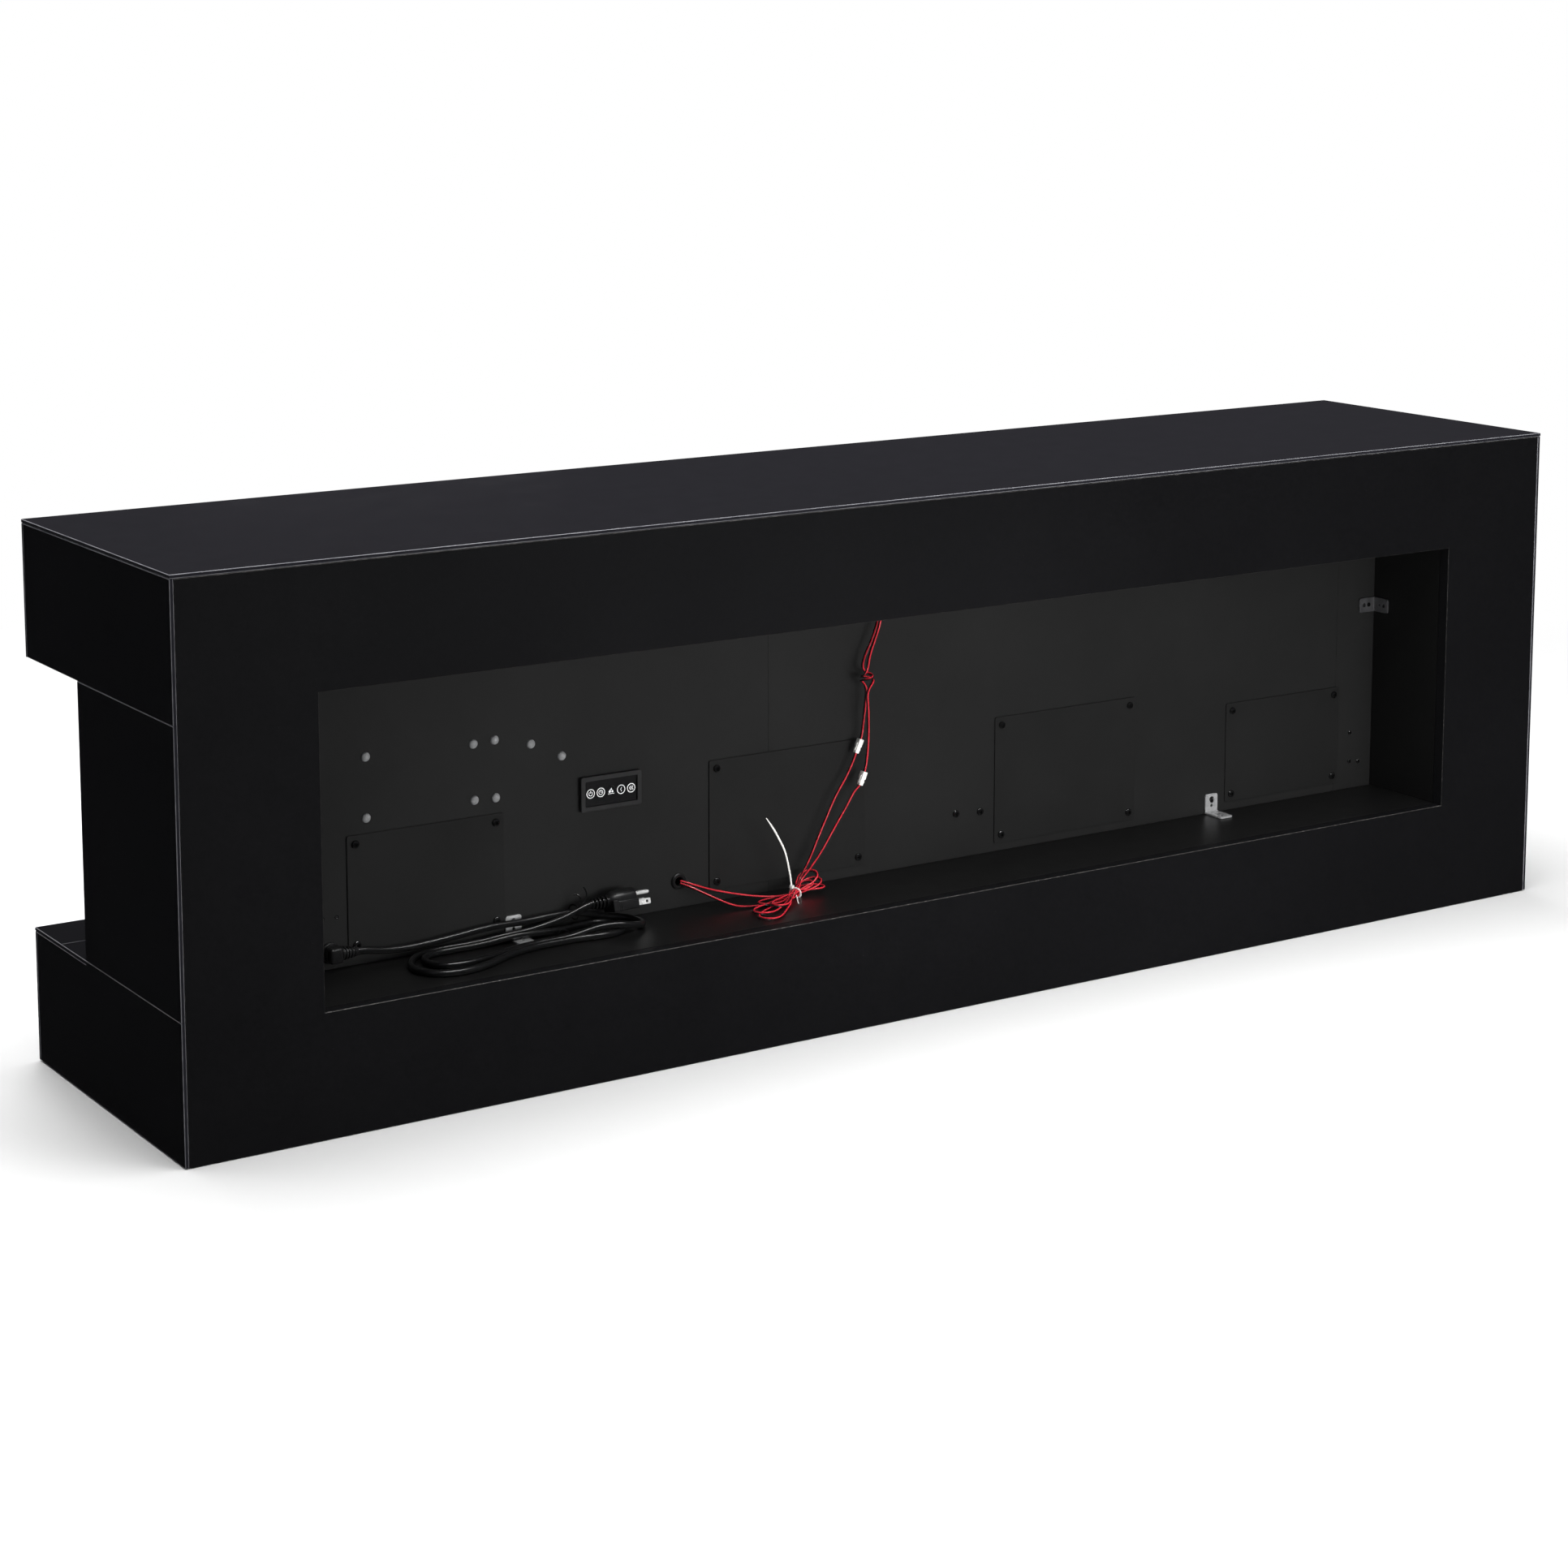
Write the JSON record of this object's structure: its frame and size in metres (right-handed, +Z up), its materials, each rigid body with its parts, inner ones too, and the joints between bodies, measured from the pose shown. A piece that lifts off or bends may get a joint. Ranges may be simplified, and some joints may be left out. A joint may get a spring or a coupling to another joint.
{
  "type": "electric fireplace",
  "caption": "Free-standing electric fireplace: three-tier black glass surround with an open service recess behind a flat electric insert.",
  "frame": {"origin": "middle of the base on the floor", "axes": "+Z up, +X along the length, -Y out of the flame front, +Y out of the back with the recess"},
  "size_m": [1.8, 0.39, 0.58],
  "materials": {
    "black_glass": "black back-painted float glass, polished",
    "front_glass": "clear grey tempered glass",
    "painted_board": "fibreboard, satin black lacquer",
    "raw_board": "bare fibreboard",
    "black_steel": "fine-textured black powder coat",
    "zinc_steel": "bright zinc plate",
    "dark_steel": "blackened steel",
    "black_plastic": "moulded black plastic",
    "key_plastic": "glossy black overlay",
    "screen_plastic": "smoked acrylic",
    "crystal": "clear crushed glass",
    "circuit_board": "green solder resist",
    "aluminium": "bright aluminium",
    "cord_pvc": "black PVC, satin",
    "lead_pvc": "red and black PVC, satin",
    "white_plastic": "natural white nylon"
  },
  "bodies": {
    "surround": {"back_panel": "painted_board", "recess_side_board_left": "painted_board", "recess_side_board_right": "painted_board", "upper_floor_board": "painted_board", "base_deck_board": "painted_board", "end_board_left": "painted_board", "end_board_right": "painted_board", "top_board": "raw_board", "upper_front_board": "raw_board", "base_front_board": "raw_board", "base_bottom_board": "raw_board", "top_glass": "black_glass", "upper_front_glass": "black_glass", "base_front_glass": "black_glass", "deck_front_glass": "black_glass", "deck_rear_glass": "black_glass", "upper_end_glass_left": "black_glass", "upper_end_glass_right": "black_glass", "middle_end_glass_left": "black_glass", "middle_end_glass_right": "black_glass", "base_end_glass_left": "black_glass", "base_end_glass_right": "black_glass", "front_glass": "front_glass", "firebox_wrap": "black_steel", "firebox_rear_sheet": "black_steel", "service_cover_1": "black_steel", "service_cover_2": "black_steel", "service_cover_3": "black_steel", "service_cover_4": "black_steel", "outlet_grille": "black_steel", "ember_tray": "black_steel", "crystal_bed": "crystal", "flame_screen": "screen_plastic", "heater_element": "aluminium", "spindle_motor": "zinc_steel", "blower_casing": "zinc_steel", "floor_bracket_left": "zinc_steel", "floor_bracket_right": "zinc_steel", "blower_motor": "dark_steel", "corner_bracket": "dark_steel", "keypad_bezel": "key_plastic", "control_board": "circuit_board", "mains_gland": "cord_pvc", "mains_cord": "cord_pvc", "mains_hank": "cord_pvc", "mains_plug": "cord_pvc", "lead_grommet": "cord_pvc", "lead_pair": "lead_pvc", "lead_hank": "lead_pvc", "lead_a": "lead_pvc", "lead_b": "lead_pvc", "connector_a": "white_plastic", "connector_b": "white_plastic"},
    "blower_rotor": {"blower_wheel": "black_plastic"},
    "flicker_rotor": {"flicker_spindle": "aluminium"},
    "key_power_cap": {"key_power": "key_plastic"},
    "key_timer_cap": {"key_timer": "key_plastic"},
    "key_flame_cap": {"key_flame": "key_plastic"},
    "key_heat_low_cap": {"key_heat_low": "key_plastic"},
    "key_heat_high_cap": {"key_heat_high": "key_plastic"}
  },
  "joints": [
    {"name": "blower_spin", "type": "hinge", "parent": "surround", "child": "blower_rotor", "pos_m": [0.58, 0.038, 0.318], "axis": [1, 0, 0], "continuous": true},
    {"name": "flicker_spin", "type": "hinge", "parent": "surround", "child": "flicker_rotor", "pos_m": [0, 0.038, 0.19], "axis": [1, 0, 0], "continuous": true},
    {"name": "key_power_press", "type": "slide", "parent": "surround", "child": "key_power_cap", "axis": [0, -1, 0], "range_m": [0, 0.0005], "stiffness_N_per_m": 600},
    {"name": "key_timer_press", "type": "slide", "parent": "surround", "child": "key_timer_cap", "axis": [0, -1, 0], "range_m": [0, 0.0005], "stiffness_N_per_m": 600},
    {"name": "key_flame_press", "type": "slide", "parent": "surround", "child": "key_flame_cap", "axis": [0, -1, 0], "range_m": [0, 0.0005], "stiffness_N_per_m": 600},
    {"name": "key_heat_low_press", "type": "slide", "parent": "surround", "child": "key_heat_low_cap", "axis": [0, -1, 0], "range_m": [0, 0.0005], "stiffness_N_per_m": 600},
    {"name": "key_heat_high_press", "type": "slide", "parent": "surround", "child": "key_heat_high_cap", "axis": [0, -1, 0], "range_m": [0, 0.0005], "stiffness_N_per_m": 600}
  ]
}
